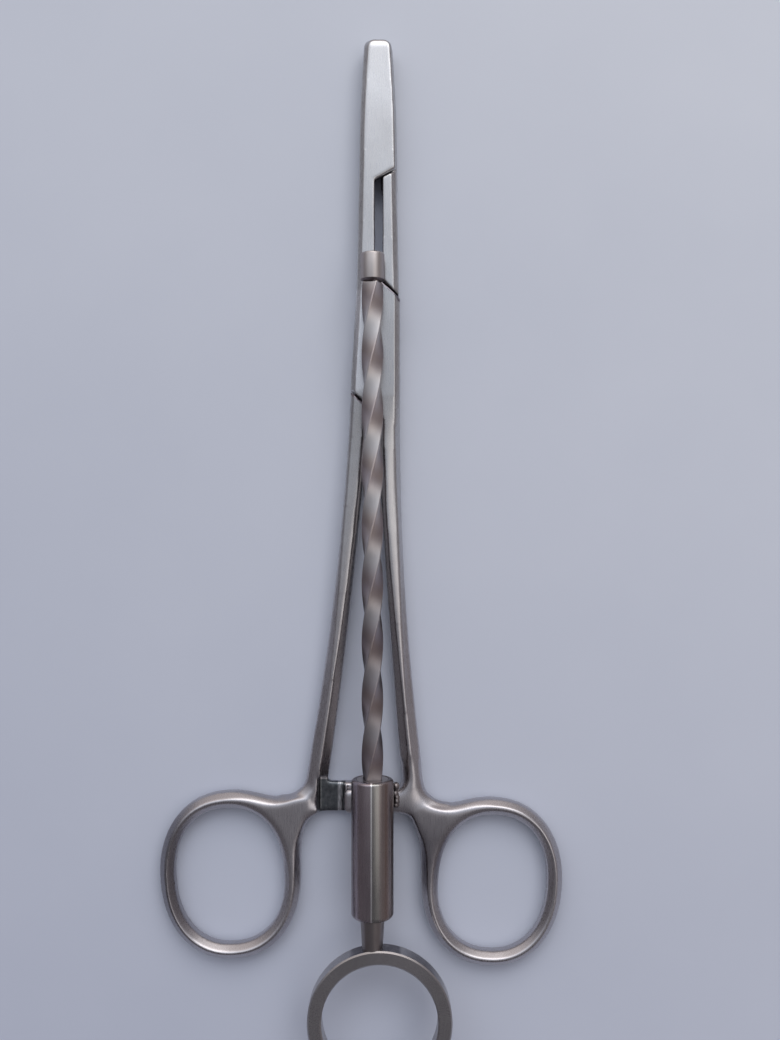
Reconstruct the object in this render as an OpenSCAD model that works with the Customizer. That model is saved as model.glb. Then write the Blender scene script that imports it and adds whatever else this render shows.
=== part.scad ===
// Wire twister: box-lock forceps with a pull ring on a twisted square rod.
// Frame: X to the right, Y towards the jaw tip, Z up from the table it lies on.
// The pivot of the box lock stands on the origin.

/* [Box lock] */
// Thickness of the box lock
lock_t = 6.2; // [5.4:0.1:7.4]
// Width of the box lock across both cheeks
lock_w = 9.8; // [9:0.1:11.5]
// Distance from the pivot to the shoulder at each end of the box
shoulder_reach = 10.5; // [9.5:0.1:11.5]
// Direction of the shoulder's normal, from the X axis
shoulder_turn = 48; // [44:1:52]
// Thickness of the tongue that passes through the box
tongue_t = 2.0; // [1.6:0.1:2.6]
// Width of the tongue
tongue_w = 4.6; // [4:0.1:5]
// Lean of the tongue from the Y axis
tongue_lean = 15; // [12:1:18]
// Radius of the tongue's round eye
eye_r = 3.3; // [3:0.1:3.6]
// Diameter of the pivot pin
pin_d = 3.0; // [2.4:0.1:3.6]
// Width of the bevel along the outer edges
edge_bevel = 1.1; // [0.6:0.1:1.5]
// Opening angle of the jaws
open_angle = 26; // [10:1:28]

/* [Jaws] */
// Distance from the pivot to the jaw tip
jaw_len = 63.9; // [55:0.1:75]
// Width of the closed jaws at the box lock
jaw_root_w = 9.3; // [8.6:0.1:9.6]
// Width of the closed jaws where the hood begins
jaw_step_w = 7.8; // [6.8:0.1:8.6]
// Width of the closed jaws at the tip
jaw_tip_w = 5.6; // [4.6:0.1:6.4]
// Thickness of the jaws at the tip
jaw_tip_t = 4.4; // [3.8:0.1:5.4]
// Length of the hood that covers the gripping end
hood_len = 27.2; // [20:0.1:32]
// Thickness of the hood
hood_t = 1.5; // [1.2:0.1:1.8]
// Width of the slot between the jaws behind the hood
slot_w = 1.7; // [1.2:0.1:2.2]
// Spacing of the teeth on the gripping faces
grip_pitch = 1.0; // [0.8:0.1:1.6]
// Depth of the teeth on the gripping faces
grip_depth = 0.3; // [0.2:0.05:0.45]

/* [Shanks and finger rings] */
// Distance from the pivot back to the ratchet arms
shank_len = 94.7; // [85:0.1:110]
// Width of each shank at mid length
shank_w = 3.75; // [3.2:0.05:4.4]
// Thickness of the shanks at mid length
shank_t = 5.2; // [4.4:0.1:6]
// Width of the shank's flat top at the box lock, as a share of the shank's width
shank_flat = 0.6; // [0.4:0.05:0.7]
// Half width of a finger ring, on the middle of its band
ring_a = 13.0; // [11:0.05:14.5]
// Half length of a finger ring, on the middle of its band
ring_b = 15.8; // [14:0.1:18]
// Width of a finger ring's band
ring_band = 3.15; // [2.6:0.05:3.8]
// Thickness of a finger ring
ring_t = 4.8; // [4:0.1:5.6]
// How square the finger rings are, where 2 is an ellipse
ring_square = 2.2; // [2:0.05:2.6]
// Distance from the ratchet arms back to the middle of the left finger ring
ring_drop = 16.3; // [14:0.1:20]
// How much further back the right finger ring lies
ring_stagger = 1.5; // [0:0.1:3]
// How far each ring's band swells out to meet its shank
swell = 9; // [6:0.1:10]
// Radius of the outer fillet between a shank and its finger ring
web_fillet = 5; // [3:0.1:7]
// Radius of the fillet between a ratchet arm and the finger ring behind it
arm_fillet = 5; // [3:0.1:6]

/* [Ratchet] */
// Width of the ratchet arms along the instrument
arm_w = 6.2; // [4.5:0.1:7]
// Thickness of the lower ratchet arm
arm_low_t = 2.6; // [2.2:0.1:2.7]
// Reach of the lower arm's toothed end past the rod
arm_low_reach = 2.4; // [0:0.1:4]
// Reach of the upper arm's tip past the rod
arm_high_reach = 6.1; // [5:0.1:8]
// Number of teeth on each ratchet arm
teeth = 3; // [2:1:4]
// Spacing of the ratchet teeth
tooth_pitch = 1.15; // [0.9:0.05:1.3]
// Height of the ratchet teeth
tooth_h = 0.55; // [0.35:0.05:0.65]

/* [Twisted rod] */
// Side of the square bar before it is twisted
bar_side = 3.3; // [2.8:0.05:3.6]
// Length of one full turn of the twist
twist_pitch = 47.0; // [40:0.1:70]
// Distance of the rod's head in front of the pivot
head_y = 12.3; // [8:0.1:20]
// Diameter of the rod's round head
head_d = 4.9; // [4.9:0.1:5.6]
// Length of the head
head_len = 6.0; // [4:0.1:9]
// Diameter of the round spigots at both ends of the rod
spigot_d = 2.8; // [2:0.1:3.2]
// Sideways place of the rod, left of the pivot
rod_shift = 0.8; // [0:0.1:1]

/* [Barrel] */
// Outer diameter of the barrel
barrel_d = 8.7; // [8:0.1:10]
// Length of the barrel
barrel_len = 28.3; // [22:0.1:36]
// How far the barrel stands in front of the ratchet arms' middle
barrel_lead = 5.4; // [2:0.1:9]
// Length of the helical nut in the barrel's front end
nut_len = 8; // [5:0.5:12]
// Outer diameter of the helical nut and of the rear bush
nut_d = 6.6; // [6.2:0.1:7.2]
// Length of the bush in the barrel's rear end
bush_len = 5; // [3:0.5:8]

/* [Pull ring] */
// Outer diameter of the pull ring
pull_d = 29.6; // [24:0.1:36]
// Width of the pull ring's band
pull_band = 2.9; // [2.2:0.1:4]
// Thickness of the pull ring
pull_t = 4.5; // [4.2:0.1:6]
// How far the ring was brazed off the rod's axis
pull_offset = 1.5; // [0:0.1:2]
// Diameter of the neck at the barrel
neck_front_d = 5.0; // [4.6:0.1:6]
// Diameter of the neck at the ring
neck_rear_d = 4.0; // [3.6:0.1:4.2]
// Distance from the barrel's rear face to the ring's rim
neck_len = 6.2; // [4:0.1:12]

/* [Fits] */
// Running gap above and below the tongue in its box
lock_gap = 0.1; // [0.06:0.02:0.2]
// Side gap between the tongue and the walls of its box
wall_gap = 0.2; // [0.1:0.05:0.3]
// Gap at the shoulders and between the closed shanks
shoulder_gap = 0.3; // [0.2:0.05:0.5]
// Radial running clearance of the pivot and of the rod's head
pin_gap = 0.05; // [0.02:0.01:0.1]
// Clearance around the twisted bar in the nut
nut_gap = 0.15; // [0.1:0.05:0.25]
// Radial clearance of parts that are pressed or brazed together
seat_gap = 0.02; // [0.01:0.01:0.04]
// Height of the rod's head above the box lock
head_lift = 0.3; // [0.2:0.1:1]

/* [Hidden] */
$fn = 64;
steel = "#b9b7b8";
steel_warm = "#8d8581";
steel_dark = "#6a676a";

mid_z = lock_t / 2;
slot_z0 = mid_z - tongue_t / 2 - lock_gap;
slot_z1 = mid_z + tongue_t / 2 + lock_gap;
far = 200;
sliver = 0.01;

// Places along the instrument
hood_y = jaw_len - hood_len;
arm_y = -shank_len;
ring_y = arm_y - ring_drop;
arm_front = arm_y + arm_w / 2;
arm_rear = arm_y - arm_w / 2;
barrel_front = arm_y + barrel_lead;
barrel_rear = barrel_front - barrel_len;
rod_x = -rod_shift;
rod_z = lock_t + head_lift + head_d / 2;
pull_y = barrel_rear - neck_len - pull_d / 2;
pull_x = rod_x + pull_offset;

// Middle line and half width of the closed jaws
jaw_mid = 0.25;
grip_x = 0.75;
lock_flare = 0.06;
slot_mid = 0.45;
jaw_taper = (lock_t - jaw_tip_t) / 2;

// Sideways places of the shanks at their root, middle and end
male_line = [-4.05, -7.7, -13.2];
female_line = [2.6, 4.5, 8.0];
male_root_w = 3.8;
female_root_w = 4.6;
shank_root_y = -20;
shank_end_w = 4.8;
male_ring_x = -30.85;
female_ring_x = 24.35;
ring_lean = 4;
ring_edge = [ring_band * 0.44, ring_t * 0.3];
swell_turn = 44;
swell_spread = 9;
corner_fillet = 1.5;
web_edge = [2.2, 1.5];
web_base = 0.06;
web_top = ring_t - 0.1;

function blend(a, b, t) = a + (b - a) * t;
function clamp(v, low, high) = max(low, min(high, v));

// Value at t of the parabola through a at 0, b at 0.5 and c at 1
function arch(a, b, c, t) = a * (1 - t) * (1 - 2 * t) + 4 * b * t * (1 - t) + c * t * (2 * t - 1);

// Flat bar's section, with its own bevel (width, height) on the left and on the right edges
function bar_section(x0, x1, z0, z1, left, right) = [
    [x1 - right[0], z0], [x1, z0 + right[1]], [x1, z1 - right[1]], [x1 - right[0], z1],
    [x0 + left[0], z1], [x0, z1 - left[1]], [x0, z0 + left[1]], [x0 + left[0], z0]
];

// Arc in plan from one angle to another
function arc(x, y, r, from, to, steps, w) = [
    for (i = [0:steps])
        let (a = blend(from, to, i / steps))
        [x + r * cos(a), y + r * sin(a), w]
];

function at_y(section, y) = [for (p = section) [p[0], y, p[1]]];

// Solid through a list of sections, which run towards -Y or clockwise
module skin(rings, closed = false) {
    n = len(rings[0]);
    m = len(rings);
    points = [for (r = rings) for (p = r) p];
    spans = closed ? m : m - 1;
    sides = [
        for (i = [0:spans - 1], j = [0:n - 1])
            let (k = (j + 1) % n, u = (i + 1) % m)
            each [
                [i * n + j, u * n + j, u * n + k],
                [i * n + j, u * n + k, i * n + k]
            ]
    ];
    first = [for (j = [0:n - 1]) j];
    last = [for (j = [n - 1:-1:0]) (m - 1) * n + j];
    polyhedron(points, closed ? sides : concat(sides, [first, last]), convexity = 8);
}

// Outline moved inwards by each point's own bevel width
function inset(outline) = let (n = len(outline)) [
    for (i = [0:n - 1])
        let (
            p = outline[i],
            before = outline[(i + n - 1) % n],
            after = outline[(i + 1) % n],
            run = [after[0] - before[0], after[1] - before[1]] / norm([after[0] - before[0], after[1] - before[1]])
        )
        [p[0] - run[1] * p[2], p[1] + run[0] * p[2], p[2]]
];

// Plate on an outline of [x, y, bevel width], with bevelled edges above and below
module plate(outline, z0, z1, slope = 0.75) {
    middle = (z0 + z1) / 2;
    inner = inset(outline);
    skin([
        [for (p = inner) [p[0], p[1], z0]],
        [for (p = outline) [p[0], p[1], min(middle - sliver, z0 + p[2] * slope)]],
        [for (p = outline) [p[0], p[1], max(middle + sliver, z1 - p[2] * slope)]],
        [for (p = inner) [p[0], p[1], z1]]
    ]);
}

// Half widths and heights of the closed jaws at a distance in front of the pivot
function jaw_half(y) =
    y < hood_y
        ? blend(jaw_root_w, jaw_step_w, clamp(y / hood_y, 0, 1)) / 2
        : blend(jaw_step_w, jaw_tip_w, (y - hood_y) / hood_len) / 2 + 0.25 * sin(180 * (y - hood_y) / hood_len);
function jaw_drop(y) = jaw_taper * clamp((y - shoulder_reach) / (jaw_len - shoulder_reach), 0, 1);
function jaw_z0(y) = jaw_drop(y);
function jaw_z1(y) = lock_t - jaw_drop(y);

// How much the jaws' corners are rounded off in plan close to the tip
tip_round = 1.6;
function tip_in(y) =
    y < jaw_len - tip_round
        ? 0
        : tip_round - sqrt(max(0, tip_round * tip_round - pow(y - jaw_len + tip_round, 2)));

bevel = [edge_bevel, edge_bevel * 0.9];
hood_bevel = [0.5, 0.6];
step_bevel = 0.4;
crisp = [0.12, 0.12];
tip_steps = [for (i = [0:5]) jaw_len - tip_round * (1 - cos(90 * i / 5)) * 0.999 - 0.001];
jaw_steps = concat(tip_steps, [for (i = [1:6]) blend(jaw_len - tip_round, hood_y, i / 6)]);
root_steps = [for (i = [0:4]) blend(hood_y, 0, i / 4)];

// Left edge, right edge and gripping face of the closed jaws
function left_x(y) = jaw_mid - jaw_half(y) + tip_in(y) * 0.55;
function right_x(y) = jaw_mid + jaw_half(y) - tip_in(y) * 0.8;

// One jaw from x0 to x1, given as functions of y through lists
module jaw_bar(steps, side, x_in, top_cut = 0) {
    skin([
        for (y = steps)
            let (z0 = jaw_z0(y) + tip_in(y) * 0.35, z1 = jaw_z1(y) - tip_in(y) * 0.35 - top_cut)
            side < 0
                ? at_y(bar_section(left_x(y), x_in, z0, z1, bevel, crisp), y)
                : at_y(bar_section(x_in, right_x(y), z0, z1, crisp, bevel), y)
    ]);
}

// Row of upright teeth across a gripping face
module grip_teeth(x, side) {
    count = floor((hood_len - 6) / grip_pitch);
    for (i = [0:count - 1])
        translate([x, jaw_len - 2.2 - i * grip_pitch, -1])
            rotate([0, 0, 45])
                cube([grip_depth * 1.414, grip_depth * 1.414, mid_z + jaw_tip_t / 2 - hood_t + 0.9]);
}

// Half space on the pivot's side of a shoulder line
module pivot_side(turn, reach) {
    rotate([0, 0, turn])
        translate([-far, -far / 2, -far / 2])
            cube([far + reach, far, far]);
}

// Half space beyond a shoulder line
module beyond(turn, reach) {
    rotate([0, 0, turn])
        translate([reach, -far / 2, -far / 2])
            cube([far, far, far]);
}

// Outline of the tongue, grown by a gap and swung about the pivot
module tongue_plan(gap, swing = 0) {
    circle(r = eye_r + gap);
    rotate([0, 0, -tongue_lean - swing])
        square([tongue_w + 2 * gap, 2 * shoulder_reach + 12], center = true);
}

// Step line where the hood begins: from the right edge down to the slot
step_turn = 120;
module hood_side(tilt = 0) {
    translate([slot_mid, hood_y - 2.0, jaw_z1(hood_y) - step_bevel])
        rotate([0, tilt, step_turn])
            translate([0, -far / 2, -far / 2])
                cube([far, far, far]);
}

// Shank edges at a distance behind the pivot
function shank_t_at(y) = (y - shank_root_y) / (arm_y - shank_root_y);
function shank_half(y, root_w) =
    arch(root_w, shank_w, shank_end_w, clamp(shank_t_at(y), -0.2, 1.2)) / 2;
function shank_mid(line, y) = arch(line[0], line[1], line[2], shank_t_at(y));

// Shank's height band, which falls from the box lock's middle to the rings on the table
function shank_fall(y) = clamp(shank_t_at(y) * 1.1, 0, 1);
function root_fall(y) = clamp((y + shoulder_reach) / (shank_root_y + shoulder_reach), 0, 1);
function shank_base(y) = blend((mid_z - shank_t / 2) * root_fall(y), 0, shank_fall(y));
function shank_high(y) =
    blend(blend(lock_t, mid_z + shank_t / 2, root_fall(y)), ring_t, shank_fall(y))
    - 0.4 * clamp((arm_front - y) / arm_w, 0, 1);

// Width of a shank's flat top, which narrows to a ridge towards the rings
function shank_top(y) = shank_w * clamp(shank_flat + 0.25 - 1.1 * shank_t_at(y), 0.1, shank_flat);

shank_steps = [for (i = [0:22]) blend(-6, arm_rear + 0.05, i / 22)];

module shank(line, root_w) {
    skin([
        for (y = shank_steps)
            let (
                half = shank_half(y, root_w),
                x = shank_mid(line, y),
                w = half - shank_top(y) / 2,
                edge = [w, min(0.9 * w, 1.5)]
            )
            at_y(bar_section(x - half, x + half, shank_base(y), shank_high(y), edge, edge), y)
    ]);
}

// Radius of a finger ring in one direction, on the middle of its band
function ring_r(t) =
    pow(pow(abs(cos(t)) / ring_a, ring_square) + pow(abs(sin(t)) / ring_b, ring_square), -1 / ring_square);

function swell_at(d) = swell / (1 + pow(d / swell_spread, 2));

// Finger ring with its band swollen towards the shank at the angle given
module finger_ring(x, y, lean, toward) {
    translate([x, y, 0])
        skin([
            for (i = [0:79])
                let (
                    t = -i * 4.5,
                    mid = ring_r(t - lean),
                    d = abs((t - toward + 900) % 360 - 180),
                    r0 = mid - ring_band / 2,
                    r1 = mid + ring_band / 2 + swell_at(d)
                )
                [for (p = bar_section(r0, r1, 0, ring_t, ring_edge, ring_edge)) [p[0] * cos(t), p[0] * sin(t), p[1]]]
        ], closed = true);
}

// Block in an inside corner, hollowed to radius r about (x, y) and bevelled along the hollow
module inside_corner(x, y, r, turn, edge) {
    reach = r + 1.5;
    translate([x, y, 0])
        rotate([0, 0, turn])
            difference() {
                translate([0, 0, web_base])
                    cube([reach, reach, web_top - web_base]);
                translate([0, 0, -1])
                    cylinder(r = r, h = ring_t + 2);
                translate([0, 0, web_top - edge[1]])
                    cylinder(r1 = r, r2 = r + 2 * edge[0], h = 2 * edge[1]);
                translate([0, 0, web_base - edge[1]])
                    cylinder(r1 = r + 2 * edge[0], r2 = r, h = 2 * edge[1]);
            }
}

// How far a shank slants outwards at the ratchet arms, from the Y axis
function shank_slant(line) = atan(abs(line[0] - 4 * line[1] + 3 * line[2]) / (shank_root_y - arm_y));

// Inside corners around the joint of shank, ratchet arm and ring, for a ring on the right
module joint_corners(line, root_w, ring_x, ring_y, front_y) {
    slant = shank_slant(line);
    inner = abs(line[2]) - shank_end_w / 2;
    mid_y = ring_y + ring_b + ring_band / 2 - 0.6 + web_fillet;
    outer = abs(shank_mid(line, mid_y)) + shank_half(mid_y, root_w) - 0.1;
    side = ring_x - ring_a - ring_band / 2 - 0.5;
    inside_corner(outer + web_fillet / cos(slant), mid_y, web_fillet, 180 + slant, web_edge);
    inside_corner(side - arm_fillet, arm_rear - arm_fillet, arm_fillet, 0, [0.9, 0.7]);
    inside_corner(inner - corner_fillet, front_y + corner_fillet, corner_fillet, -90, [0.5, 0.4]);
}

// The same outline turned over for a ring on the left
function mirrored(outline) = [for (i = [len(outline) - 1:-1:0]) [-outline[i][0], outline[i][1], outline[i][2]]];

// Saw teeth on a flat, rising along +Y by tooth_h and spaced along X
module rack(count, width) {
    for (i = [0:count - 1])
        translate([i * tooth_pitch, width, 0])
            rotate([90, 0, 0])
                linear_extrude(height = width)
                    polygon([[0, -sliver], [tooth_pitch - 0.1, -sliver], [tooth_pitch - 0.1, tooth_h * 0.2], [0.1, tooth_h]]);
}

// Member with the left jaw, the box and the right shank
module female_member() {
    color(steel)
        difference() {
            union() {
                intersection() {
                    box_block();
                    pivot_side(shoulder_turn, shoulder_reach);
                    pivot_side(shoulder_turn + 180, shoulder_reach);
                }
                jaw_bar(root_steps, -1, slot_mid - slot_w / 2);
                jaw_bar(jaw_steps, -1, grip_x - grip_depth / 2);
                intersection() {
                    hood();
                    hood_side();
                    hood_side(45);
                }
                shank(female_line, female_root_w);
                finger_ring(female_ring_x, ring_y - ring_stagger, -ring_lean, 180 - swell_turn);
                joint_corners(female_line, female_root_w, female_ring_x, ring_y - ring_stagger, arm_front - 1);
                upper_arm();
            }
            tongue_room();
            translate([0, 0, -1])
                cylinder(d = pin_d + 2 * seat_gap, h = lock_t + 2);
            grip_teeth(grip_x - grip_depth / 2, 1);
        }
}

// Full width block that the two shoulder lines cut out
module box_block() {
    skin([
        for (y = [shoulder_reach + 6, 0, -shoulder_reach, -shoulder_reach - 3, -shoulder_reach - 6])
            at_y(bar_section(-lock_w / 2 + lock_flare * y, lock_w / 2, shank_base(y), shank_high(y), bevel, bevel), y)
    ]);
}

// Thin plate that hides the gripping faces from above
module hood() {
    skin([
        for (y = concat(jaw_steps, [hood_y - 3]))
            let (z1 = jaw_z1(y) - tip_in(y) * 0.35)
            at_y(
                bar_section(left_x(y) + 1, right_x(y), z1 - hood_t, z1, crisp, hood_bevel),
                y
            )
    ]);
}

// Space in the box for the tongue at every angle of opening
module tongue_room() {
    translate([0, 0, slot_z0])
        linear_extrude(height = slot_z1 - slot_z0)
            for (i = [0:8])
                tongue_plan(wall_gap, open_angle * i / 8);
}

// Outline of an arm that points to the left, with a round-cornered tip
function arm_outline(tip, root, rear, front, r, w) = concat(
    arc(tip + r, rear + r, r, 180, 270, 4, w),
    [[root, rear, w], [root, front, w]],
    arc(tip + r, front - r, r, 90, 180, 4, w)
);

// Ratchet arm of the right shank, with the barrel's saddle in its top
module upper_arm() {
    low = arm_low_t + 0.15;
    tip_x = rod_x - arm_high_reach;
    difference() {
        union() {
            plate(arm_outline(tip_x, female_line[2], arm_rear, arm_front - 1, 1.3, 0.8), low + tooth_h, web_top);
            translate([tip_x + 0.6, arm_front - 1.4, low + tooth_h])
                rotate([180, 0, 0])
                    rack(teeth, arm_w - 1.8);
        }
        translate([rod_x, barrel_front + 1, rod_z])
            rotate([90, 0, 0])
                cylinder(d = barrel_d + 2 * seat_gap, h = barrel_len + 2);
    }
}

// Member with the right jaw, the tongue and the left shank
module male_member() {
    color(steel)
        difference() {
            union() {
                intersection() {
                    front_bar();
                    beyond(shoulder_turn, shoulder_reach + shoulder_gap);
                }
                male_tip();
                translate([0, 0, mid_z - tongue_t / 2])
                    linear_extrude(height = tongue_t)
                        intersection() {
                            tongue_plan(0);
                            square([lock_w - 0.6, far], center = true);
                        }
                difference() {
                    union() {
                        shank(male_line, male_root_w);
                        mirror([1, 0, 0])
                            joint_corners(male_line, male_root_w, -male_ring_x, ring_y, arm_front);
                    }
                    pivot_side(shoulder_turn + 180, shoulder_reach + shoulder_gap);
                    arm_step();
                }
                finger_ring(male_ring_x, ring_y, ring_lean, swell_turn);
                lower_arm();
            }
            translate([0, 0, -1])
                cylinder(d = pin_d + 2 * pin_gap, h = lock_t + 2);
            grip_teeth(grip_x + grip_depth / 2, -1);
        }
}

// Right jaw between the box and the hood
module front_bar() {
    difference() {
        jaw_bar(concat([hood_y + 2], root_steps), 1, slot_mid + slot_w / 2);
        translate([0, shoulder_gap * -1.2, 0])
            hood_side();
    }
}

// Right half of the gripping end, under the hood
module male_tip() {
    skin([
        for (y = concat([for (v = jaw_steps) min(v, jaw_len - 0.3)], [hood_y - 4]))
            let (z0 = jaw_z0(y) + tip_in(y) * 0.35, z1 = jaw_z1(y) - tip_in(y) * 0.35 - hood_t - 0.1)
            at_y(bar_section(grip_x + grip_depth / 2, right_x(y) + 0.15, z0, z1, crisp, [edge_bevel, 0.8]), y)
    ]);
}

// Space above the lower arm, where the left shank is cut down to let the upper arm pass
module arm_step() {
    translate([male_line[2] + 1, arm_rear - 1, arm_low_t - tooth_h + 0.05])
        cube([arm_w, arm_w + 1.1 + corner_fillet, ring_t]);
}

// Ratchet arm of the left shank, low under the upper one
module lower_arm() {
    tip_x = rod_x - arm_low_reach;
    flat = arm_low_t - tooth_h;
    plate(mirrored(arm_outline(-tip_x, -male_line[2], arm_rear, arm_front, 0.8, 0.3)), 0, flat);
    translate([tip_x - teeth * tooth_pitch, arm_rear + 0.4, flat])
        rack(teeth, arm_w - 0.8);
}

// Riveted pin of the box lock, flush with both cheeks
module pivot_pin() {
    color(steel)
        cylinder(d = pin_d, h = lock_t);
}

// Barrel that is brazed on the upper ratchet arm
module barrel() {
    round_r = 0.7;
    color(steel_warm)
        translate([rod_x, barrel_rear, rod_z])
            rotate([-90, 0, 0])
                rotate_extrude()
                    polygon(concat(
                        [[nut_d / 2 + seat_gap, 0]],
                        [for (i = [0:4]) let (a = -90 + 90 * i / 4)
                            [barrel_d / 2 - round_r + round_r * cos(a), round_r + round_r * sin(a)]],
                        [for (i = [0:4]) let (a = 90 * i / 4)
                            [barrel_d / 2 - round_r + round_r * cos(a), barrel_len - round_r + round_r * sin(a)]],
                        [[nut_d / 2 + seat_gap, barrel_len]]
                    ));
}

// Square bar with broken corners, twisted along its length
module twisted_bar(side, length, phase) {
    c = side / 2;
    b = side * 0.06;
    corners = [
        [c, -c + b], [c, c - b], [c - b, c], [-c + b, c],
        [-c, c - b], [-c, -c + b], [-c + b, -c], [c - b, -c]
    ];
    slices = ceil(length / slice_len);
    skin([
        for (i = [0:slices])
            let (z = length * i / slices, a = phase + 360 * z / twist_pitch)
            [for (p = corners) [p[0] * cos(a) - p[1] * sin(a), p[0] * sin(a) + p[1] * cos(a), z]]
    ]);
}

// Phase of the twist at a distance behind the head
function phase_at(depth) = twist_start + 360 * depth / twist_pitch;
twist_start = 20;
slice_len = 1.4;

// Turns a piece drawn upwards so that it runs back from the point y on the rod's axis
module along_rod(y) {
    translate([rod_x, y, rod_z])
        rotate([90, 0, 0])
            children();
}

bar_len = head_y - barrel_rear;
spigot_len = min(head_len, neck_len) - 1.5;

// Rod of the twister, with a round spigot at each end
module twisted_rod() {
    color(steel_warm)
        along_rod(head_y) {
            twisted_bar(bar_side, bar_len, phase_at(0));
            translate([0, 0, -spigot_len])
                cylinder(d = spigot_d, h = spigot_len + 1);
            translate([0, 0, bar_len - 1])
                cylinder(d = spigot_d, h = spigot_len + 1);
        }
}

// Round head that stops the rod at the barrel when it is drawn right back
module rod_head() {
    color(steel_warm)
        along_rod(head_y + head_len)
            rotate_extrude()
                polygon([
                    [0, 0], [head_d / 2 - 0.5, 0], [head_d / 2, 0.5], [head_d / 2, head_len - 0.3],
                    [head_d / 2 - 0.3, head_len], [spigot_d / 2 + pin_gap, head_len],
                    [spigot_d / 2 + pin_gap, head_len - spigot_len - 0.1], [0, head_len - spigot_len - 0.1]
                ]);
}

// Nut with the twisted bar's own hole
module helical_nut() {
    color(steel_dark)
        along_rod(barrel_front)
            difference() {
                translate([0, 0, 0.2])
                    cylinder(d = nut_d, h = nut_len);
                translate([0, 0, -1])
                    twisted_bar(bar_side + 2 * nut_gap, nut_len + 2, phase_at(head_y - barrel_front - 1));
            }
}

// Plain bush that steadies the bar at the barrel's rear
module rear_bush() {
    color(steel_dark)
        along_rod(barrel_rear + bush_len + 0.2)
            difference() {
                cylinder(d = nut_d, h = bush_len);
                translate([0, 0, -1])
                    cylinder(r = bar_side * 0.68 + nut_gap, h = bush_len + 2);
            }
}

// Tapered neck between the rod and the pull ring
module neck() {
    color(steel_dark)
        difference() {
            along_rod(barrel_rear - 0.1)
                cylinder(d1 = neck_front_d, d2 = neck_rear_d, h = neck_len + 2);
            translate([pull_x, pull_y, rod_z - pull_t])
                cylinder(d = pull_d + 2 * seat_gap, h = 2 * pull_t);
            along_rod(barrel_rear + 1)
                cylinder(d = spigot_d + 2 * seat_gap, h = spigot_len + 1.1);
        }
}

// Flat ring that the rod is pulled back with
module pull_ring() {
    edge = 0.3;
    r1 = pull_d / 2;
    r0 = r1 - pull_band;
    color(steel_dark)
        translate([pull_x, pull_y, rod_z - pull_t / 2])
            rotate_extrude($fn = 96)
                polygon([
                    [r0 + edge, 0], [r1 - edge, 0], [r1, edge], [r1, pull_t - edge],
                    [r1 - edge, pull_t], [r0 + edge, pull_t], [r0, pull_t - edge], [r0, edge]
                ]);
}

female_member();
male_member();
pivot_pin();
barrel();
helical_nut();
rear_bush();
twisted_rod();
rod_head();
neck();
pull_ring();
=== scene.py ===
import math

import bmesh
import bpy
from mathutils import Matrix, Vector


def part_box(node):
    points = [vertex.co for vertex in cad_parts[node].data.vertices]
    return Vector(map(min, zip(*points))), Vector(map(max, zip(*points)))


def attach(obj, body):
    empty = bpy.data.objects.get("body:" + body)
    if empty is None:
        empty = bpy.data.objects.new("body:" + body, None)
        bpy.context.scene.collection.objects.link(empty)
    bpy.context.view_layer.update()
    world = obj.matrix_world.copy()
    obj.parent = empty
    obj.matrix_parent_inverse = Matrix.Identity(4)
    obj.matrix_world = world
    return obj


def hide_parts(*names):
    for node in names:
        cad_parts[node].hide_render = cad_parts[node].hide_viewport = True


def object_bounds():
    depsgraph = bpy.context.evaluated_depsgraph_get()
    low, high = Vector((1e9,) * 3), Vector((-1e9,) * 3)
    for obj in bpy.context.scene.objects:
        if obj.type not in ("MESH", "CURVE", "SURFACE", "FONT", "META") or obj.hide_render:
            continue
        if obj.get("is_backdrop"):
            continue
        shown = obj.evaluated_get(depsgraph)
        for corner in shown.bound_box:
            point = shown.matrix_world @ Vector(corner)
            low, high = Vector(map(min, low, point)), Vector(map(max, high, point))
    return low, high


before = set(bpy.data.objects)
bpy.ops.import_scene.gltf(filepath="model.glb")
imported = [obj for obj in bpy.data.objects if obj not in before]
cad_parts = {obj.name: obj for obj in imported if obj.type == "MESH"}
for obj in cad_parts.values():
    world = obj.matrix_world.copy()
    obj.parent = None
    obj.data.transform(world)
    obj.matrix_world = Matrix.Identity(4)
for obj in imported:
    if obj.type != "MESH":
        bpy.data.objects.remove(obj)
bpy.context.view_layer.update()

MM = 0.001

# Camera of the photograph: straight down, 780 by 1040 pixels, with the sensor along the longer side
PHOTO_LENGTH_PX = 1040
FOCAL_PX = 1080.0
SENSOR_MM = 36.0
CAMERA_AT = (2.8 * MM, -36.35 * MM, 230 * MM)
CLIP_START = 10 * MM
FLOOR_SIZE = 6.0

# The twisted bar, as in the part: its turn behind the head is in degrees, and one waist stands at WAIST_Y
BAR_SIDE = 3.3 * MM
TWIST_PITCH = 47.0 * MM
TWIST_START = 20.0
HEAD_REAR_Y = 12.3 * MM
WAIST_Y = 3.2 * MM

# Voxels of the two forgings: each stays under 200,000 triangles, and the box lock clear of clashes
VOXELS = {"frame": 0.2475 * MM, "second_handle": 0.24 * MM}

# Where the forgings are smoothed, and in how many rounds: all over, along the shanks, where shank, arm and
# ring join (but not on the arms, along X), and in the corner of right shank and upper arm
ROUNDS = {"all": 2, "shank": 8, "joint": 40, "corner": 140}
SHANK_ROOT_Y = -13 * MM
SHANK_FADE = 6 * MM
JOINTS = {"female_member": (11.5 * MM, -96.5 * MM), "male_member": (-17.5 * MM, -96.5 * MM)}
JOINT_REACH = 13 * MM
JOINT_FADE = 5 * MM
ARMS_X = (-12.0 * MM, 3.0 * MM)
CORNER = (6.4 * MM, -91.4 * MM)
CORNER_REACH = 6 * MM
CORNER_FADE = 2 * MM

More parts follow.
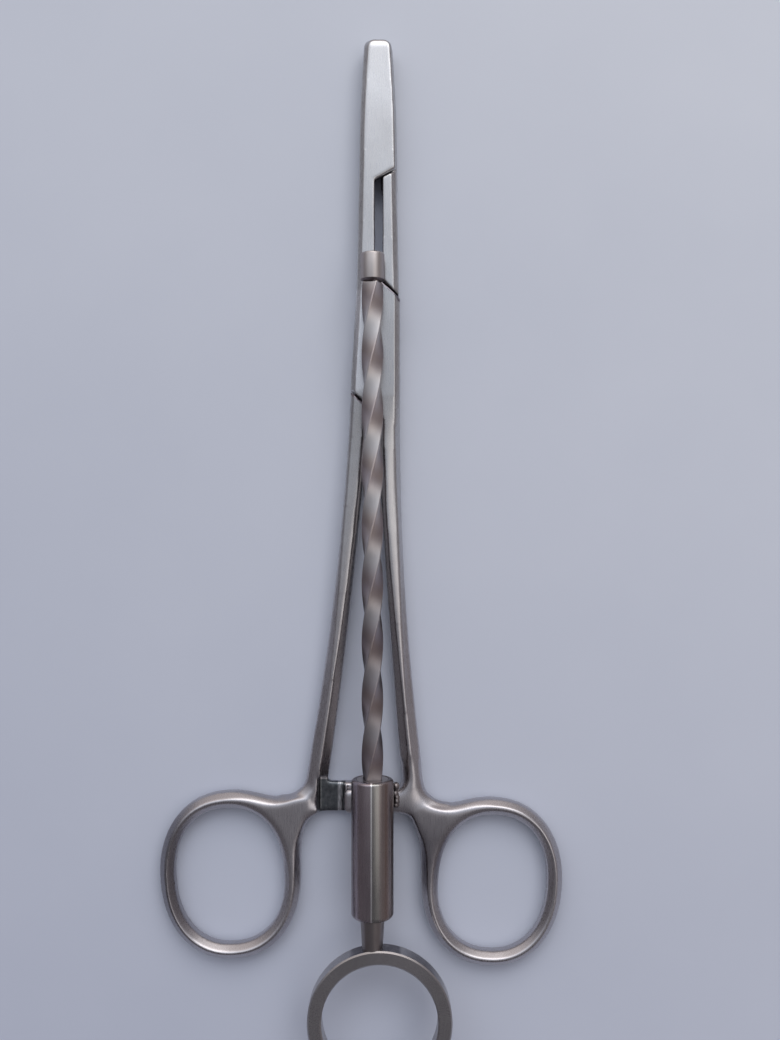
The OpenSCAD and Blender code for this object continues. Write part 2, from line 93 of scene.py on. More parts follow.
# Crowned tops of the shanks: from which height and line they fall away, and how deep along which spans.
# The middle's X, the depths and the deepest fall are in millimetres
RIGHT_CROWN_Z = 3.2 * MM
RIGHT_CROWN_RISE = 1.5 * MM
RIGHT_MIDDLE_Y = -20 * MM
RIGHT_MIDDLE_RUN = -74.7 * MM
RIGHT_MIDDLE_X = (2.6, 4.5, 8.0)
RIGHT_CROWN_IN = 1.3 * MM
RIGHT_CROWN_MOST = 0.85
RIGHT_HUMPS = ((0.075, (-6 * MM, -30 * MM, -64 * MM)), (0.035, (-36 * MM, -64 * MM, -90 * MM)))
LEFT_CROWN_Z = 2.6 * MM
LEFT_CROWN_RISE = 1.2 * MM
LEFT_CROWN_X = -1.5 * MM
LEFT_EDGE_X = -2.4 * MM
LEFT_EDGE_Y = -19.7 * MM
LEFT_EDGE_SLOPE = 0.118
LEFT_CROWN_IN = 1.1 * MM
LEFT_CROWN_MOST = 0.5
LEFT_HUMP_DEPTH = 0.11
LEFT_HUMP_Y = (-12 * MM, -38 * MM, -88 * MM)

# Barrel, nut and head: the edges' radii, the bore, and how far the parts stand clear of each other
BORE = 3.32 * MM
BORE_CHAMFER = 0.1 * MM
SLEEVE_INSET = 0.01 * MM
SLEEVE_REAR_ROUND = 1.0 * MM
SLEEVE_FRONT_ROUND = 0.7 * MM
NUT_SET_BACK = 0.04 * MM
NUT_LENGTH = 8 * MM
NUT_PLAY = 0.03 * MM
HOLE_PLAY = 0.3 * MM
HOLE_CORNER = 1.36
HEAD_CHAMFER = 0.62 * MM
HEAD_CHAMFER_ROUND = 0.1 * MM
HEAD_FRONT_ROUND = 0.45 * MM

# Lumps of braze between barrel and upper arm, in millimetres
LUMPS = 6
LUMP_AT = (4.0, -91.8, 4.75)
LUMP_STEP = 0.78
LUMP_SWAY = (0.2, 0.1)
LUMP_RADIUS = (0.74, 0.12)
LUMP_VOXEL = 0.13 * MM

# Light of the room by lean from the zenith, in degrees towards the jaw tip, and by side from left to right
ROOM_STRENGTH = 1.0
LEAN_COLOURS = [
    (-90, (0.15, 0.14, 0.155)), (-22, (0.13, 0.125, 0.14)), (-14, (0.18, 0.18, 0.20)),
    (-4, (0.42, 0.42, 0.445)), (0, (0.45, 0.46, 0.50)), (10, (0.49, 0.535, 0.61)),
    (20, (0.85, 0.90, 1.00)), (28, (1.20, 1.25, 1.36)), (50, (1.34, 1.35, 1.40)),
    (65, (0.95, 0.87, 0.83)), (78, (0.62, 0.55, 0.53)), (90, (0.36, 0.32, 0.315)),
]
SIDE_COLOURS = [(0.0, (0.15, 0.14, 0.155)), (0.5, (0.22, 0.21, 0.23)), (1.0, (0.28, 0.255, 0.265))]
LAMP_TOWARD = (0.46, -0.04, 0.88)
LAMP_COLOUR = (1.22, 1.17, 1.15)
LAMP_SPREAD = (21.0, 6.0)
WINDOW_AT = (0.25, 0.75, 0.75)
WINDOW_TOWARD = (0, -0.03, 0)
WINDOW_SIZE = (0.9, 0.6)
WINDOW_POWER = 3.0
WINDOW_COLOUR = (1.0, 0.99, 0.98)

# The paper's painted shade, which deepens a little towards the viewer and to the left, with a little painted
# light to the right
PAPER_SPAN = (-0.16, 0.08)
PAPER_SHADE_NEAR = (0.60, 0.635, 0.745)
PAPER_FAR = (0.75, 0.785, 0.86)
PAPER_SIDES = (-0.08, 0.08)
PAPER_SHADE_LEFT = (0.945, 0.95, 0.965)
PAPER_LIGHT_RIGHT = (1.035, 1.03, 1.02)

# Lines where box, shoulders and hood meet, with dark residue and painted shade along the gaps: turn of the
# normal, its length, width, span along X, and tint
SHOULDER_TURN = 48.0
FRONT_REACH = 10.46 * MM
REAR_REACH = 10.92 * MM
GRIME_AND_SHADE_WIDTH = 0.38 * MM
HOOK = ((4.05 * MM, 10.55 * MM), (4.75 * MM, 9.1 * MM))
HOOK_WIDTH = GRIME_AND_SHADE_WIDTH * 0.8
FRONT_X = (1.0 * MM, HOOK[0][0])
REAR_X = (-6.0 * MM, -2.0 * MM)
GRIME_AND_SHADE_TINT = (0.16, 0.135, 0.16)
GRIME_AND_SHADE_SHARE = 0.85

# The handles' mauve cast, which fades towards the box
CAST_Y = (-75 * MM, -20 * MM)
CAST_TINT = (0.97, 0.935, 0.955)

# The open slot behind the hood: its floor carries painted shade, dark under the hood and lightening towards
# the box
SLOT_X = (-0.9 * MM, 1.9 * MM)
SLOT_Y = (17.0 * MM, 36.0 * MM)
SLOT_Z = (4.6 * MM, 5.0 * MM)
SLOT_SHADE_TINTS = [(0.05, (1.35, 1.38, 1.58)), (0.9, (0.72, 0.70, 0.78))]

# A painted highlight on the box's left strip, painted shade on the right ring's web, and painted shade on the
# left ring's far side
HIGHLIGHT_STRIP_X = (-4.35 * MM, -2.4 * MM)
HIGHLIGHT_STRIP_Y = (-9.5 * MM, 11.5 * MM)
HIGHLIGHT_STRIP_TINT = (0.72, 0.72, 0.745)
HIGHLIGHT_STRIP_SHARE = 0.8
WEB_X = (8 * MM, 16.5 * MM)
WEB_Y = (-112 * MM, -99 * MM)
WEB_SHADE_TINT = (0.60, 0.59, 0.61)
LEFT_RING_X = (-43 * MM, -37 * MM)
LEFT_RING_SHADE_TINT = (0.58, 0.58, 0.60)

# The lower arm: where it is dark and patchy, its lighter strip, worn and with a painted edge highlight, and
# its last tooth, with painted shadow, along X
ARM_DARK_X = (-12.0 * MM, -8.15 * MM)
STRIP_X = (-8.15 * MM, -7.5 * MM)
TOOTH_X = (-7.5 * MM, -6.6 * MM)
ARM_Y = (-98.4 * MM, -91.0 * MM)
ARM_FOOT_Z = (0.6 * MM, 1.2 * MM)
ARM_TOP_Z = (3.4 * MM, 3.9 * MM)
ARM_DARK_TINTS = [(0.35, (0.10, 0.11, 0.12)), (0.7, (0.17, 0.18, 0.19))]
TOOTH_SHADOW_TINTS = [(0.45, (0.03, 0.03, 0.035)), (0.68, (0.30, 0.31, 0.32))]
STRIP_WEAR_AND_HIGHLIGHT_TINTS = [(0.3, (0.18, 0.18, 0.19)), (0.6, (0.62, 0.63, 0.65))]

# The barrel: painted reflections, brown on the right side, grey in the middle and mauve on the left side, a
# painted highlight line, and painted shade on the undersides
BROWN_X = (0.4 * MM, 1.4 * MM)
BROWN_REFLECTION_TINT = (0.68, 0.56, 0.51)
GREY_X = (-0.8 * MM, 0.6 * MM)
GREY_REFLECTION_TINT = (0.83, 0.86, 0.83)
MAUVE_X = (-1.3 * MM, -1.0 * MM)
MAUVE_REFLECTION_TINT = (0.96, 0.88, 0.94)
LINE_X = (-1.08 * MM, -0.86 * MM)
LINE_Z = (12 * MM, 12.6 * MM)
HIGHLIGHT_LINE_TINT = (1.0, 0.98, 0.97)
BARREL_UNDER_Z = (8.6 * MM, 12 * MM)
BARREL_UNDER_SHADE_TINT = (0.36, 0.33, 0.36)

# The rod: painted reflection between the waists, darker near the barrel, and painted shade underneath
FACET_REFLECTION_TINTS = [(0.35, (0.93, 0.85, 0.86)), (0.65, (0.98, 0.87, 0.80))]
ROD_REAR_Y = (-62 * MM, -30 * MM)
ROD_REAR_TINT = (0.64, 0.62, 0.64)
ROD_UNDER_Z = (8.8 * MM, 10.7 * MM)
ROD_UNDER_SHADE_TINT = (0.40, 0.36, 0.37)

# The head: painted shade on its sides and on the chamfer towards the bar
HEAD_UNDER_Z = (9.0 * MM, 11.2 * MM)
HEAD_UNDER_SHADE_TINT = (0.52, 0.47, 0.49)
CHAMFER_Y = (HEAD_REAR_Y + 0.5 * MM, HEAD_REAR_Y + 0.65 * MM)
CHAMFER_SHADE_TINT = (0.35, 0.32, 0.34)

# The pull ring: brazing marks on its rim, left and right of the neck, below its flat top
MARK_LEFT_X = (-5.2 * MM, -2.6 * MM)
MARK_RIGHT_X = (1.2 * MM, 4.9 * MM)
MARK_Y = (-126.4 * MM, -125.6 * MM)
MARK_Z = (10.8 * MM, 10.95 * MM)
MARK_TINT = (0.10, 0.09, 0.105)
MARK_SHARE = 0.85


# Node helpers

def new_material(name):
    material = bpy.data.materials.new(name)
    material.use_nodes = True
    tree = material.node_tree
    tree.nodes.clear()
    output = tree.nodes.new("ShaderNodeOutputMaterial")
    shader = tree.nodes.new("ShaderNodeBsdfPrincipled")
    tree.links.new(shader.outputs["BSDF"], output.inputs["Surface"])
    return material, tree, shader


def add_node(tree, kind, **values):
    node = tree.nodes.new(kind)
    for key, value in values.items():
        setattr(node, key, value)
    return node


def object_coordinates(tree, stretch):
    """Object coordinates in metres, stretched along the grain."""
    place = tree.nodes.new("ShaderNodeTexCoord")
    mapping = tree.nodes.new("ShaderNodeMapping")
    mapping.inputs["Scale"].default_value = stretch
    tree.links.new(place.outputs["Object"], mapping.inputs["Vector"])
    return mapping.outputs["Vector"]


def noise(tree, vector, scale, detail=4.0, rough=0.55, distort=0.0):
    node = tree.nodes.new("ShaderNodeTexNoise")
    node.inputs["Scale"].default_value = scale
    node.inputs["Detail"].default_value = detail
    node.inputs["Roughness"].default_value = rough
    node.inputs["Distortion"].default_value = distort
    tree.links.new(vector, node.inputs["Vector"])
    return node.outputs["Fac"]


def ramp(tree, value, stops):
    node = tree.nodes.new("ShaderNodeValToRGB")
    elements = node.color_ramp.elements
    while len(elements) < len(stops):
        elements.new(0.5)
    for element, (position, colour) in zip(elements, stops):
        element.position = position
        element.color = (*colour, 1.0)
    tree.links.new(value, node.inputs["Fac"])
    return node.outputs["Color"]


def spread(tree, value, low, high, from_low=0.3, from_high=0.7):
    node = tree.nodes.new("ShaderNodeMapRange")
    node.inputs["From Min"].default_value = from_low
    node.inputs["From Max"].default_value = from_high
    node.inputs["To Min"].default_value = low
    node.inputs["To Max"].default_value = high
    tree.links.new(value, node.inputs["Value"])
    return node.outputs["Result"]


def calc(tree, operation, first, second=0.0):
    """One sum on sockets or numbers."""
    node = add_node(tree, "ShaderNodeMath", operation=operation)
    for socket, value in zip(node.inputs, (first, second)):
        if isinstance(value, (int, float)):
            socket.default_value = value
        else:
            tree.links.new(value, socket)
    return node.outputs["Value"]


def place_parts(tree):
    place = tree.nodes.new("ShaderNodeTexCoord")
    parts = tree.nodes.new("ShaderNodeSeparateXYZ")
    tree.links.new(place.outputs["Object"], parts.inputs["Vector"])
    return parts.outputs["X"], parts.outputs["Y"], parts.outputs["Z"]


def within(tree, value, low, high, soft=0.12 * MM):
    """1 between two bounds and 0 outside, with soft ends."""
    rise = spread(tree, value, 0, 1, low - soft, low + soft)
    fall = spread(tree, value, 1, 0, high - soft, high + soft)
    return calc(tree, "MULTIPLY", rise, fall)


def near_line(tree, x, y, turn, reach, width):
    """1 on a line in plan, given by the direction and distance of its normal, and 0 away from it."""
    across = calc(tree, "MULTIPLY", x, math.cos(math.radians(turn)))
    along = calc(tree, "MULTIPLY", y, math.sin(math.radians(turn)))
    off = calc(tree, "ABSOLUTE", calc(tree, "SUBTRACT", calc(tree, "ADD", across, along), reach))
    return spread(tree, off, 1, 0, width * 0.6, width * 1.2)


def tinted(tree, colour, other, factor, blend="MIX"):
    """One colour turned into another where the factor is 1."""
    node = add_node(tree, "ShaderNodeMix", data_type="RGBA", blend_type=blend)
    for socket, value in ((node.inputs["Factor"], factor), (node.inputs[6], colour), (node.inputs[7], other)):
        if isinstance(value, tuple):
            socket.default_value = (*value, 1.0)
        elif isinstance(value, float):
            socket.default_value = value
        else:
            tree.links.new(value, socket)
    return node.outputs[2]


def bump(tree, height, strength, distance):
    node = tree.nodes.new("ShaderNodeBump")
    node.inputs["Strength"].default_value = strength
    node.inputs["Distance"].default_value = distance
    tree.links.new(height, node.inputs["Height"])
    return node.outputs["Normal"]


def brushed_steel(name, dark, light, rough_low, rough_high, grain=(1, 0.04, 1), depth=0.13, wear_and_light=None):
    """Stainless steel with a fine grain, cloudy tint and faint scratches, and with what the wear and painted
    light add.
    """
    material, tree, shader = new_material(name)
    cloudy = noise(tree, object_coordinates(tree, (1, 1, 1)), 90, detail=5)
    fine = noise(tree, object_coordinates(tree, grain), 9000, detail=2)
    scratch = noise(tree, object_coordinates(tree, (1, 0.02, 1)), 2600, detail=3, distort=0.4)
    tint = ramp(tree, cloudy, [(0.3, dark), (0.7, light)])
    tint = tinted(tree, tint, (0.965, 0.965, 0.97), spread(tree, scratch, 0, 1, 0.58, 0.66), "MULTIPLY")
    if wear_and_light is not None:
        tint = wear_and_light(tree, tint)
    tree.links.new(tint, shader.inputs["Base Color"])
    shader.inputs["Metallic"].default_value = 1.0
    tree.links.new(spread(tree, fine, rough_low, rough_high), shader.inputs["Roughness"])
    tree.links.new(bump(tree, fine, depth, 0.00002), shader.inputs["Normal"])
    return material


# Materials

def member_wear_and_shade(tree, tint):
    """Dark residue and painted shade in the box lock's lines, a mauve cast on the handles, painted shade on
    the slot floor, the right ring's web and the left ring's far side, and a painted highlight on the box's
    left strip.
    """
    x, y, z = place_parts(tree)
    # Dark residue and painted shade along the box lock's joint lines, over the gaps' lit edges
    front = near_line(tree, x, y, SHOULDER_TURN, FRONT_REACH, GRIME_AND_SHADE_WIDTH)
    front = calc(tree, "MULTIPLY", front, within(tree, x, *FRONT_X))
    rear = near_line(tree, x, y, SHOULDER_TURN + 180, REAR_REACH, GRIME_AND_SHADE_WIDTH)
    rear = calc(tree, "MULTIPLY", rear, within(tree, x, *REAR_X))
    run = Vector(HOOK[1]) - Vector(HOOK[0])
    turn = math.degrees(math.atan2(run.x, -run.y))
    side = HOOK[0][0] * math.cos(math.radians(turn)) + HOOK[0][1] * math.sin(math.radians(turn))
    hook = near_line(tree, x, y, turn, side, HOOK_WIDTH)
    hook = calc(tree, "MULTIPLY", hook, within(tree, y, HOOK[1][1], HOOK[0][1]))
    grime_and_shade = calc(tree, "MAXIMUM", calc(tree, "MAXIMUM", front, rear), hook)
    tint = tinted(tree, tint, GRIME_AND_SHADE_TINT, calc(tree, "MULTIPLY", grime_and_shade, GRIME_AND_SHADE_SHARE))
    tint = tinted(tree, tint, CAST_TINT, spread(tree, y, 1, 0, *CAST_Y), "MULTIPLY")
    # Painted shade on the slot floor, darkest under the hood
    floor = calc(tree, "MULTIPLY", within(tree, x, *SLOT_X), within(tree, y, *SLOT_Y))
    floor = calc(tree, "MULTIPLY", floor, spread(tree, z, 1, 0, *SLOT_Z))
    shade = ramp(tree, spread(tree, y, 0, 1, *SLOT_Y), SLOT_SHADE_TINTS)
    tint = tinted(tree, tint, shade, floor, "MULTIPLY")
    # Painted highlight along the box's left edge
    edge = calc(tree, "MULTIPLY", within(tree, x, *HIGHLIGHT_STRIP_X, 0.2 * MM), within(tree, y, *HIGHLIGHT_STRIP_Y, 0.5 * MM))
    tint = tinted(tree, tint, HIGHLIGHT_STRIP_TINT, calc(tree, "MULTIPLY", edge, HIGHLIGHT_STRIP_SHARE))
    # Painted shade on the right ring's web
    web = calc(tree, "MULTIPLY", within(tree, x, *WEB_X, 2 * MM), within(tree, y, *WEB_Y, 4 * MM))
    tint = tinted(tree, tint, WEB_SHADE_TINT, web, "MULTIPLY")
    # Painted shade on the left ring's far side
    return tinted(tree, tint, LEFT_RING_SHADE_TINT, spread(tree, x, 1, 0, *LEFT_RING_X), "MULTIPLY")


def arm_marks_and_shade(tree, tint):
    """The lower arm's dark patches, its lighter strip, worn and with a painted edge highlight, and its last
    tooth in painted shadow, over the wear and painted shade of both members.
    """
    tint = member_wear_and_shade(tree, tint)
    x, y, z = place_parts(tree)
    patchy = noise(tree, object_coordinates(tree, (1, 1, 1)), 1400, detail=4)
    arm = calc(tree, "MULTIPLY", within(tree, y, *ARM_Y), spread(tree, z, 0, 1, *ARM_FOOT_Z))
    arm = calc(tree, "MULTIPLY", arm, spread(tree, z, 1, 0, *ARM_TOP_Z))
    # Dark and patchy on the lower arm
    black = calc(tree, "MULTIPLY", within(tree, x, *ARM_DARK_X), arm)
    tooth = calc(tree, "MULTIPLY", within(tree, x, *TOOTH_X), arm)
    strip = calc(tree, "MULTIPLY", within(tree, x, *STRIP_X), arm)
    tint = tinted(tree, tint, ramp(tree, patchy, ARM_DARK_TINTS), black)
    lines = noise(tree, object_coordinates(tree, (1, 0.12, 1)), 3800, detail=3, distort=0.6)
    # The last tooth, dark with painted shadow from the upper arm's tip, crossed by light lines
    tint = tinted(tree, tint, ramp(tree, lines, TOOTH_SHADOW_TINTS), tooth)
    # The lighter strip at a tooth's edge: wear, and a painted edge highlight
    return tinted(tree, tint, ramp(tree, lines, STRIP_WEAR_AND_HIGHLIGHT_TINTS), strip)


def barrel_painted_light(tree, tint):
    """Painted reflections, brown down the right side, grey in the middle and mauve on the left, a painted
    highlight line along the top, and painted shade on the undersides.
    """
    x, _, z = place_parts(tree)
    # Painted reflections of the room across the barrel, brown, grey and mauve
    streaks = noise(tree, object_coordinates(tree, (1, 0.01, 0.2)), 1500, detail=3)
    brown = calc(tree, "MULTIPLY", spread(tree, x, 0, 1, *BROWN_X), spread(tree, streaks, 0.6, 1, 0.4, 0.6))
    tint = tinted(tree, tint, BROWN_REFLECTION_TINT, brown, "MULTIPLY")
    tint = tinted(tree, tint, GREY_REFLECTION_TINT, within(tree, x, *GREY_X, 0.3 * MM), "MULTIPLY")
    tint = tinted(tree, tint, MAUVE_REFLECTION_TINT, spread(tree, x, 1, 0, *MAUVE_X), "MULTIPLY")
    # Painted highlight along the top
    line = calc(tree, "MULTIPLY", within(tree, x, *LINE_X, 0.07 * MM), spread(tree, z, 0, 1, *LINE_Z))
    line = calc(tree, "MULTIPLY", line, spread(tree, streaks, 0.7, 1, 0.3, 0.6))
    tint = tinted(tree, tint, HIGHLIGHT_LINE_TINT, line)
    # Painted shade on the undersides
    return tinted(tree, tint, BARREL_UNDER_SHADE_TINT, spread(tree, z, 1, 0, *BARREL_UNDER_Z), "MULTIPLY")


def rod_painted_light(tree, tint):
    """Mauve and brown painted reflection between the waists of the twist, darker near the barrel, and painted
    shade on the undersides.
    """
    _, y, z = place_parts(tree)
    # Painted reflection, mauve and brown where the facets turn away from the light between the waists
    turn = calc(tree, "MULTIPLY", calc(tree, "SUBTRACT", y, WAIST_Y), math.tau / (TWIST_PITCH / 4))
    between = spread(tree, calc(tree, "COSINE", turn), 1, 0, -0.8, 0.95)
    patchy = noise(tree, object_coordinates(tree, (1, 1, 1)), 180, detail=3)
    tint = tinted(tree, tint, ramp(tree, patchy, FACET_REFLECTION_TINTS), between, "MULTIPLY")
    tint = tinted(tree, tint, ROD_REAR_TINT, spread(tree, y, 1, 0, *ROD_REAR_Y), "MULTIPLY")
    # Painted shade on the undersides
    return tinted(tree, tint, ROD_UNDER_SHADE_TINT, spread(tree, z, 1, 0, *ROD_UNDER_Z), "MULTIPLY")


def head_painted_shade(tree, tint):
    """Painted shade on the sides and on the chamfer towards the bar."""
    _, y, z = place_parts(tree)
    # Painted shade on the sides
    tint = tinted(tree, tint, HEAD_UNDER_SHADE_TINT, spread(tree, z, 1, 0, *HEAD_UNDER_Z), "MULTIPLY")
    # Painted shade on the chamfer towards the bar
    return tinted(tree, tint, CHAMFER_SHADE_TINT, spread(tree, y, 1, 0, *CHAMFER_Y), "MULTIPLY")


def ring_wear(tree, tint):
    """Dark brazing marks on the rim beside the neck."""
    x, y, z = place_parts(tree)
    patchy = noise(tree, object_coordinates(tree, (1, 1, 1)), 700, detail=4)
    left = within(tree, x, *MARK_LEFT_X, 0.3 * MM)
    right = within(tree, x, *MARK_RIGHT_X, 0.3 * MM)
    mark = calc(tree, "MULTIPLY", calc(tree, "MAXIMUM", left, right), spread(tree, y, 0, 1, *MARK_Y))
    mark = calc(tree, "MULTIPLY", mark, spread(tree, patchy, 0.7, 1, 0.35, 0.5))
    mark = calc(tree, "MULTIPLY", mark, spread(tree, z, 1, 0, *MARK_Z))
    return tinted(tree, tint, MARK_TINT, calc(tree, "MULTIPLY", mark, MARK_SHARE))


def jaw_steel():
    return brushed_steel("satin_steel", (0.46, 0.455, 0.46), (0.53, 0.53, 0.54), 0.24, 0.34, wear_and_light=member_wear_and_shade)


def handle_steel():
    return brushed_steel("worn_and_shaded_steel", (0.46, 0.455, 0.46), (0.53, 0.53, 0.54), 0.24, 0.34, wear_and_light=arm_marks_and_shade)


def rod_steel():
    return brushed_steel(
        "rod_steel", (0.48, 0.46, 0.46), (0.555, 0.54, 0.54), 0.36, 0.46,
        grain=(1, 0.05, 1), depth=0.12, wear_and_light=rod_painted_light,
    )


def head_steel():
    return brushed_steel(
        "head_steel", (0.45, 0.415, 0.40), (0.51, 0.47, 0.455), 0.34, 0.44,
        grain=(1, 0.05, 1), depth=0.12, wear_and_light=head_painted_shade,
    )


def barrel_steel():
    return brushed_steel(
        "barrel_steel", (0.34, 0.315, 0.315), (0.40, 0.38, 0.375), 0.22, 0.32,
        grain=(1, 0.03, 1), wear_and_light=barrel_painted_light,
    )


def nut_steel():
    return brushed_steel("nut_steel", (0.30, 0.265, 0.26), (0.38, 0.34, 0.33), 0.26, 0.36)


def bush_steel():
    return brushed_steel(
        "bush_steel", (0.24, 0.215, 0.215), (0.30, 0.27, 0.265), 0.3, 0.4,
        grain=(1, 0.05, 1),
    )


def ring_steel():
    return brushed_steel(
        "ring_steel", (0.38, 0.365, 0.37), (0.46, 0.44, 0.445), 0.24, 0.34,
        grain=(1, 1, 0.2), wear_and_light=ring_wear,
    )


def paper():
    material, tree, shader = new_material("paper")
    where = object_coordinates(tree, (1, 1, 1))
    cloudy = noise(tree, where, 14, detail=4)
    tint = ramp(tree, cloudy, [(0.3, (0.945, 0.95, 0.96)), (0.7, (1.0, 1.0, 1.0))])
    parts = tree.nodes.new("ShaderNodeSeparateXYZ")
    tree.links.new(where, parts.inputs["Vector"])
    # Painted shade, deeper towards the viewer
    along = spread(tree, parts.outputs["Y"], 0, 1, *PAPER_SPAN)
    shaded = ramp(tree, along, [(0.0, PAPER_SHADE_NEAR), (1.0, PAPER_FAR)])
    tint = tinted(tree, tint, shaded, 1.0, "MULTIPLY")
    # Painted shade to the left and painted light to the right
    across = spread(tree, parts.outputs["X"], 0, 1, *PAPER_SIDES)
    aside = ramp(tree, across, [(0.0, PAPER_SHADE_LEFT), (1.0, PAPER_LIGHT_RIGHT)])
    tree.links.new(tinted(tree, tint, aside, 1.0, "MULTIPLY"), shader.inputs["Base Color"])
    shader.inputs["Roughness"].default_value = 0.9
    shader.inputs["Specular IOR Level"].default_value = 0.2
    fibres = noise(tree, where, 2200, detail=3)
    tree.links.new(bump(tree, fibres, 0.15, 0.00003), shader.inputs["Normal"])
    return material


# Meshes

def smooth_shading(mesh):
    for face in mesh.polygons:
        face.use_smooth = True


def made_piece(name, body, smooth=True):
    """A new object from a finished bmesh."""
    mesh = bpy.data.meshes.new(name)
    body.to_mesh(mesh)
    body.free()
    if smooth:
        smooth_shading(mesh)
    piece = bpy.data.objects.new(name, mesh)
    bpy.context.scene.collection.objects.link(piece)
    return piece


def dressed(piece, material):
    piece.data.materials.clear()
    piece.data.materials.append(material)
    return piece


def settle(piece):
    """Applies the piece's modifiers."""
    bpy.context.view_layer.update()
    settled = piece.evaluated_get(bpy.context.evaluated_depsgraph_get())
    final = bpy.data.meshes.new_from_object(settled)
    piece.modifiers.clear()
    piece.data = final


def voxel_skin(piece, voxel):
    skin = piece.modifiers.new("skin", "REMESH")
    skin.mode = "VOXEL"
    skin.voxel_size = voxel


def relax(piece, group, rounds):
    modifier = piece.modifiers.new(group, "SMOOTH")
    modifier.vertex_group = group
    modifier.factor = 0.5
    modifier.iterations = rounds


def clamp01(value):
    return max(0.0, min(1.0, value))


def nearness(x, y, centre, reach, fade):
    """1 near a centre in plan, and 0 beyond its reach."""
    return clamp01((reach - math.hypot(x - centre[0], y - centre[1])) / fade)


def hump(y, from_y, peak_y, to_y):
    """Rises from 0 to 1 and falls again along the instrument, with smooth ends."""
    if y > from_y or y < to_y:
        return 0.0
    t = (from_y - y) / (from_y - peak_y) if y > peak_y else (y - to_y) / (peak_y - to_y)
    return t * t * (3 - 2 * t)


def parabola(a, b, c, t):
    """Passes through a, b and c at the start, middle and end of t from 0 to 1."""
    return a * (1 - t) * (1 - 2 * t) + 4 * b * t * (1 - t) + c * t * (2 * t - 1)


def right_shank_crown(x, y, z):
    """How far the right shank's top falls away to the outside, behind the box."""
    if z < RIGHT_CROWN_Z or x < 0:
        return 0.0
    t = (y - RIGHT_MIDDLE_Y) / RIGHT_MIDDLE_RUN
    middle = parabola(*RIGHT_MIDDLE_X, t) * MM
    out = max(0.0, x - middle + RIGHT_CROWN_IN)
    depth = sum(deep * hump(y, *span) for deep, span in RIGHT_HUMPS)
    rise = clamp01((z - RIGHT_CROWN_Z) / RIGHT_CROWN_RISE)
    return min(depth * (out / MM) ** 2, RIGHT_CROWN_MOST) * MM * rise


def left_shank_crown(x, y, z):
    """How far the left shank's top falls away to the inside."""
    if z < LEFT_CROWN_Z or x > LEFT_CROWN_X:
        return 0.0
    inner_edge = LEFT_EDGE_X + (y - LEFT_EDGE_Y) * LEFT_EDGE_SLOPE
    out = max(0.0, x - inner_edge + LEFT_CROWN_IN)
    depth = LEFT_HUMP_DEPTH * hump(y, *LEFT_HUMP_Y)
    rise = clamp01((z - LEFT_CROWN_Z) / LEFT_CROWN_RISE)
    return min(depth * (out / MM) ** 2, LEFT_CROWN_MOST) * MM * rise


def softened_copy(name, nodes, voxel, joint, crown):
    """The nodes' own form with its edges broken and its joints blended, as polishing leaves them."""
    merged = bmesh.new()
    for node in nodes:
        merged.from_mesh(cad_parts[node].data)
    bmesh.ops.remove_doubles(merged, verts=merged.verts, dist=1e-6)
    piece = made_piece(name, merged, smooth=False)
    voxel_skin(piece, voxel)
    settle(piece)

    groups = {group: piece.vertex_groups.new(name=group) for group in ROUNDS}
    for vertex in piece.data.vertices:
        x, y, _ = vertex.co
        on_arm = ARMS_X[0] < x < ARMS_X[1]
        weights = {
            "all": 1.0,
            "shank": clamp01((SHANK_ROOT_Y - y) / SHANK_FADE),
            "joint": 0.0 if on_arm else nearness(x, y, joint, JOINT_REACH, JOINT_FADE),
            "corner": nearness(x, y, CORNER, CORNER_REACH, CORNER_FADE),
        }
        for group, weight in weights.items():
            if weight > 0:
                groups[group].add([vertex.index], weight, "REPLACE")
    for vertex in piece.data.vertices:
        vertex.co.z -= crown(*vertex.co)
    for group, rounds in ROUNDS.items():
        relax(piece, group, rounds)
    settle(piece)
    piece.vertex_groups.clear()
    smooth_shading(piece.data)
    return piece


def turned(u, v, turn):
    return u * math.cos(turn) - v * math.sin(turn), u * math.sin(turn) + v * math.cos(turn)


def twisted_bar(name, y_front, y_rear, x, z, side, rings=420, round_steps=4):
    """Square bar with rounded corners, twisted to the right as it runs back."""
    half = side / 2
    radius = side * 0.09
    outline = []
    for quarter in range(4):
        base = math.radians(90 * quarter)
        for step in range(round_steps + 1):
            turn = math.radians(90 * step / round_steps)
            px = half - radius + radius * math.cos(turn)
            py = half - radius + radius * math.sin(turn)
            outline.append(turned(px, py, base))
        outline.append(turned(0.0, half, base))
    count = len(outline)
    body = bmesh.new()
    rows = []
    length = y_front - y_rear
    for i in range(rings + 1):
        depth = length * i / rings
        turn = math.radians(TWIST_START) + math.tau * depth / TWIST_PITCH
        row = []
        for px, py in outline:
            u, v = turned(px, py, turn)
            row.append(body.verts.new((x + u, y_front - depth, z + v)))
        rows.append(row)
    for near, back in zip(rows, rows[1:]):
        for j in range(count):
            k = (j + 1) % count
            body.faces.new((near[j], near[k], back[k], back[j]))
    body.faces.new(rows[0][::-1])
    body.faces.new(rows[-1])
    bmesh.ops.recalc_face_normals(body, faces=body.faces)
    return made_piece(name, body)


def arc(radius_at, y_at, size, start, end, steps=5):
    """Points of a profile's rounded corner, from one angle to another."""
    turns = [math.radians(start + (end - start) * i / steps) for i in range(steps + 1)]
    return [(radius_at + size * math.cos(turn), y_at + size * math.sin(turn)) for turn in turns]


